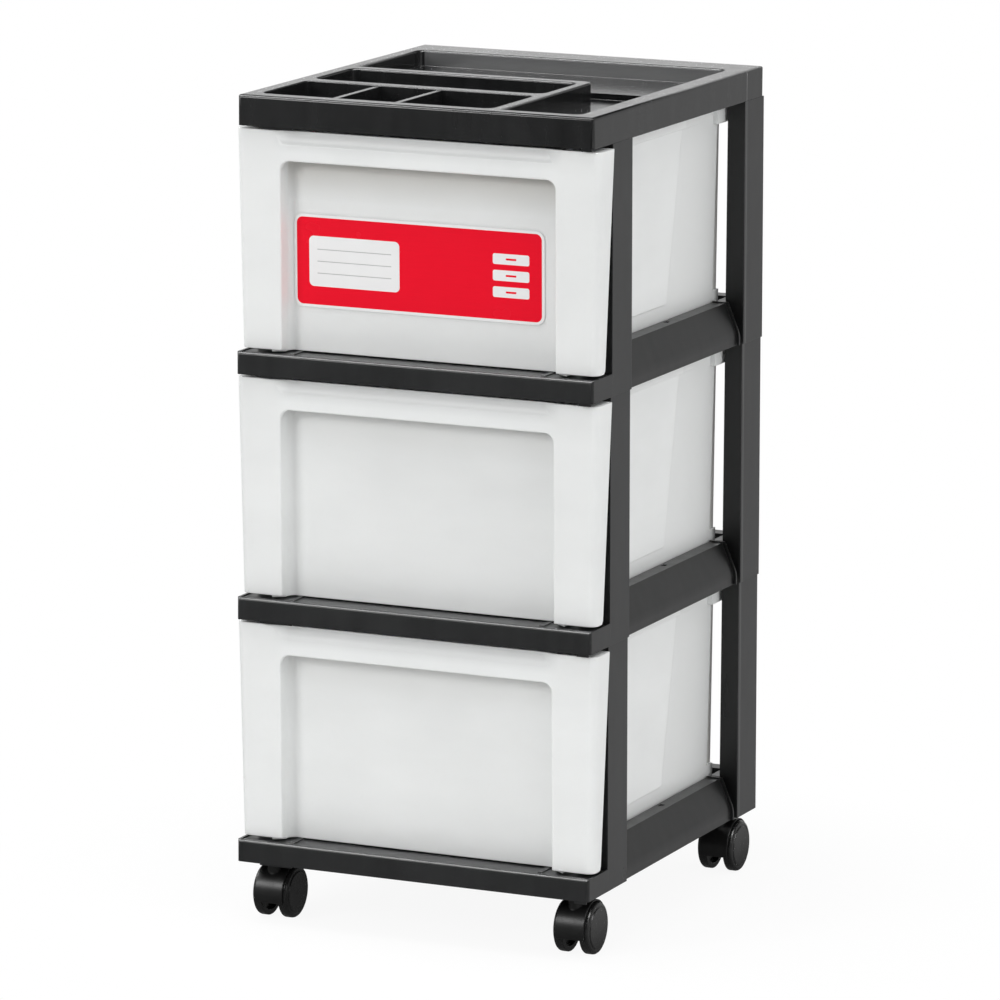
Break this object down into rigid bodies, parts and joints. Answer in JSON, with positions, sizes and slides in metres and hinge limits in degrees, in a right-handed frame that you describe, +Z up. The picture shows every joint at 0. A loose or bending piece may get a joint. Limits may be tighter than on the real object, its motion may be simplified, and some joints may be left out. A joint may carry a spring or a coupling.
{
  "type": "drawer tower on casters",
  "caption": "Rolling plastic storage tower: stacked frames with sliding translucent drawers, a compartment tray on top and twin-wheel casters below.",
  "frame": {"origin": "on the floor under the middle of the tower's whole width and depth", "axes": "+Z up, -Y the drawers' front, +X to the right seen from the front"},
  "size_m": [0.312, 0.3513, 0.6675],
  "materials": {
    "black_plastic": "moulded satin, slightly glossy on flat faces",
    "frosted_plastic": "milky translucent, satin",
    "label_film": "gloss printed film with a white border",
    "caster_plastic": "semi-gloss, worn matte on the treads",
    "steel": "zinc plated"
  },
  "bodies": {
    "tower": {"organizer_top": "black_plastic", "tier_frame_top": "black_plastic", "tier_frame_middle": "black_plastic", "tier_frame_bottom": "black_plastic", "caster_fl_stem": "steel", "caster_fl_grip_ring": "steel", "caster_fr_stem": "steel", "caster_fr_grip_ring": "steel", "caster_rl_stem": "steel", "caster_rl_grip_ring": "steel", "caster_rr_stem": "steel", "caster_rr_grip_ring": "steel"},
    "drawer_top": {"drawer_top": "frosted_plastic", "front_label": "label_film"},
    "drawer_middle": {"drawer_middle": "frosted_plastic"},
    "drawer_bottom": {"drawer_bottom": "frosted_plastic"},
    "caster_fl": {"caster_fl_hood": "caster_plastic", "caster_fl_axle": "steel"},
    "caster_fl_wheel_left": {"caster_fl_wheel_left": "caster_plastic"},
    "caster_fl_wheel_right": {"caster_fl_wheel_right": "caster_plastic"},
    "caster_fr": {"caster_fr_hood": "caster_plastic", "caster_fr_axle": "steel"},
    "caster_fr_wheel_left": {"caster_fr_wheel_left": "caster_plastic"},
    "caster_fr_wheel_right": {"caster_fr_wheel_right": "caster_plastic"},
    "caster_rl": {"caster_rl_hood": "caster_plastic", "caster_rl_axle": "steel"},
    "caster_rl_wheel_left": {"caster_rl_wheel_left": "caster_plastic"},
    "caster_rl_wheel_right": {"caster_rl_wheel_right": "caster_plastic"},
    "caster_rr": {"caster_rr_hood": "caster_plastic", "caster_rr_axle": "steel"},
    "caster_rr_wheel_left": {"caster_rr_wheel_left": "caster_plastic"},
    "caster_rr_wheel_right": {"caster_rr_wheel_right": "caster_plastic"}
  },
  "joints": [
    {"name": "drawer_top_slide", "type": "slide", "parent": "tower", "child": "drawer_top", "axis": [0, -1, 0], "range_m": [0, 0.24]},
    {"name": "drawer_middle_slide", "type": "slide", "parent": "tower", "child": "drawer_middle", "axis": [0, -1, 0], "range_m": [0, 0.24]},
    {"name": "drawer_bottom_slide", "type": "slide", "parent": "tower", "child": "drawer_bottom", "axis": [0, -1, 0], "range_m": [0, 0.24]},
    {"name": "caster_fl_swivel", "type": "hinge", "parent": "tower", "child": "caster_fl", "pos_m": [-0.1315, -0.15055, 0.0505], "axis": [0, 0, 1], "continuous": true},
    {"name": "caster_fl_wheel_left_spin", "type": "hinge", "parent": "caster_fl", "child": "caster_fl_wheel_left", "pos_m": [-0.14315, -0.14105, 0.021], "axis": [1, 0, 0], "continuous": true},
    {"name": "caster_fl_wheel_right_spin", "type": "hinge", "parent": "caster_fl", "child": "caster_fl_wheel_right", "pos_m": [-0.11985, -0.14105, 0.021], "axis": [1, 0, 0], "continuous": true},
    {"name": "caster_fr_swivel", "type": "hinge", "parent": "tower", "child": "caster_fr", "pos_m": [0.1315, -0.15055, 0.0505], "axis": [0, 0, 1], "continuous": true},
    {"name": "caster_fr_wheel_left_spin", "type": "hinge", "parent": "caster_fr", "child": "caster_fr_wheel_left", "pos_m": [0.11985, -0.14105, 0.021], "axis": [1, 0, 0], "continuous": true},
    {"name": "caster_fr_wheel_right_spin", "type": "hinge", "parent": "caster_fr", "child": "caster_fr_wheel_right", "pos_m": [0.14315, -0.14105, 0.021], "axis": [1, 0, 0], "continuous": true},
    {"name": "caster_rl_swivel", "type": "hinge", "parent": "tower", "child": "caster_rl", "pos_m": [-0.1315, 0.14365, 0.0505], "axis": [0, 0, 1], "continuous": true},
    {"name": "caster_rl_wheel_left_spin", "type": "hinge", "parent": "caster_rl", "child": "caster_rl_wheel_left", "pos_m": [-0.14315, 0.15315, 0.021], "axis": [1, 0, 0], "continuous": true},
    {"name": "caster_rl_wheel_right_spin", "type": "hinge", "parent": "caster_rl", "child": "caster_rl_wheel_right", "pos_m": [-0.11985, 0.15315, 0.021], "axis": [1, 0, 0], "continuous": true},
    {"name": "caster_rr_swivel", "type": "hinge", "parent": "tower", "child": "caster_rr", "pos_m": [0.1315, 0.14365, 0.0505], "axis": [0, 0, 1], "continuous": true},
    {"name": "caster_rr_wheel_left_spin", "type": "hinge", "parent": "caster_rr", "child": "caster_rr_wheel_left", "pos_m": [0.11985, 0.15315, 0.021], "axis": [1, 0, 0], "continuous": true},
    {"name": "caster_rr_wheel_right_spin", "type": "hinge", "parent": "caster_rr", "child": "caster_rr_wheel_right", "pos_m": [0.14315, 0.15315, 0.021], "axis": [1, 0, 0], "continuous": true}
  ]
}
